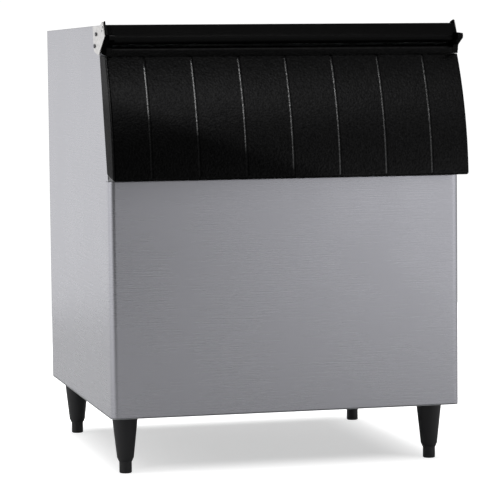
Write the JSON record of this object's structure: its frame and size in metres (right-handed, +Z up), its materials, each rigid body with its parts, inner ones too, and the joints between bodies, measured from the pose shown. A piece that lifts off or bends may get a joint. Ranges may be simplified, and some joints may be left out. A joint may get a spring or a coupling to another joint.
{
  "type": "ice storage bin",
  "caption": "Free-standing insulated ice bin on adjustable legs, with a sloping front, a bowed ribbed door hinged along its top edge, an open top for an ice machine and a floor drain.",
  "frame": {"origin": "on the floor under the middle of the whole bin, the bowed door included", "axes": "+Z up, the door faces -Y, and the bin's left side, as one faces it, is at -X"},
  "size_m": [0.772, 0.8264, 0.9541],
  "materials": {
    "stainless": "satin",
    "galvanised": "matte",
    "bright_steel": "polished",
    "black_plastic": "satin",
    "leg_plastic": "satin",
    "white_plastic": "satin",
    "foam": "matte",
    "rubber": "matte",
    "nylon": "satin",
    "brass": "satin"
  },
  "bodies": {
    "cabinet": {"back_panel": "galvanised", "base_panel": "galvanised", "bin_liner": "white_plastic", "drain_fitting": "brass", "drain_nut": "brass", "drain_strainer": "stainless", "fascia": "black_plastic", "front_left_leg": "leg_plastic", "front_left_leg_plate": "galvanised", "front_left_leg_stud": "bright_steel", "front_panel": "stainless", "front_right_leg": "leg_plastic", "front_right_leg_plate": "galvanised", "front_right_leg_stud": "bright_steel", "header_rail": "galvanised", "ice_baffle": "stainless", "left_baffle_screw": "nylon", "left_cap_rivet_front": "bright_steel", "left_cap_rivet_rear": "bright_steel", "left_end_cap": "black_plastic", "left_hinge_pin": "bright_steel", "left_hinge_plate": "bright_steel", "left_plate_screw_lower": "bright_steel", "left_plate_screw_upper": "bright_steel", "left_side_panel": "stainless", "rear_left_leg": "leg_plastic", "rear_left_leg_plate": "galvanised", "rear_left_leg_stud": "bright_steel", "rear_right_leg": "leg_plastic", "rear_right_leg_plate": "galvanised", "rear_right_leg_stud": "bright_steel", "right_baffle_screw": "nylon", "right_cap_rivet_front": "bright_steel", "right_cap_rivet_rear": "bright_steel", "right_end_cap": "black_plastic", "right_hinge_pin": "bright_steel", "right_hinge_plate": "bright_steel", "right_plate_screw_lower": "bright_steel", "right_plate_screw_upper": "bright_steel", "right_side_panel": "stainless", "wall_insulation": "foam"},
    "door": {"door_skin": "black_plastic", "door_inner_pan": "white_plastic", "door_insulation": "foam", "door_gasket": "rubber", "left_hinge_bush": "nylon", "right_hinge_bush": "nylon"},
    "front_left_foot": {"front_left_levelling_foot": "leg_plastic"},
    "front_right_foot": {"front_right_levelling_foot": "leg_plastic"},
    "rear_left_foot": {"rear_left_levelling_foot": "leg_plastic"},
    "rear_right_foot": {"rear_right_levelling_foot": "leg_plastic"}
  },
  "joints": [
    {"name": "door_hinge", "type": "hinge", "parent": "cabinet", "child": "door", "pos_m": [0, -0.3405, 0.8915], "axis": [-1, 0, 0], "range_deg": [0, 100]},
    {"name": "front_left_foot_screw", "type": "slide", "parent": "cabinet", "child": "front_left_foot", "axis": [0, 0, -1], "range_m": [0, 0.025]},
    {"name": "front_right_foot_screw", "type": "slide", "parent": "cabinet", "child": "front_right_foot", "axis": [0, 0, -1], "range_m": [0, 0.025]},
    {"name": "rear_left_foot_screw", "type": "slide", "parent": "cabinet", "child": "rear_left_foot", "axis": [0, 0, -1], "range_m": [0, 0.025]},
    {"name": "rear_right_foot_screw", "type": "slide", "parent": "cabinet", "child": "rear_right_foot", "axis": [0, 0, -1], "range_m": [0, 0.025]}
  ]
}
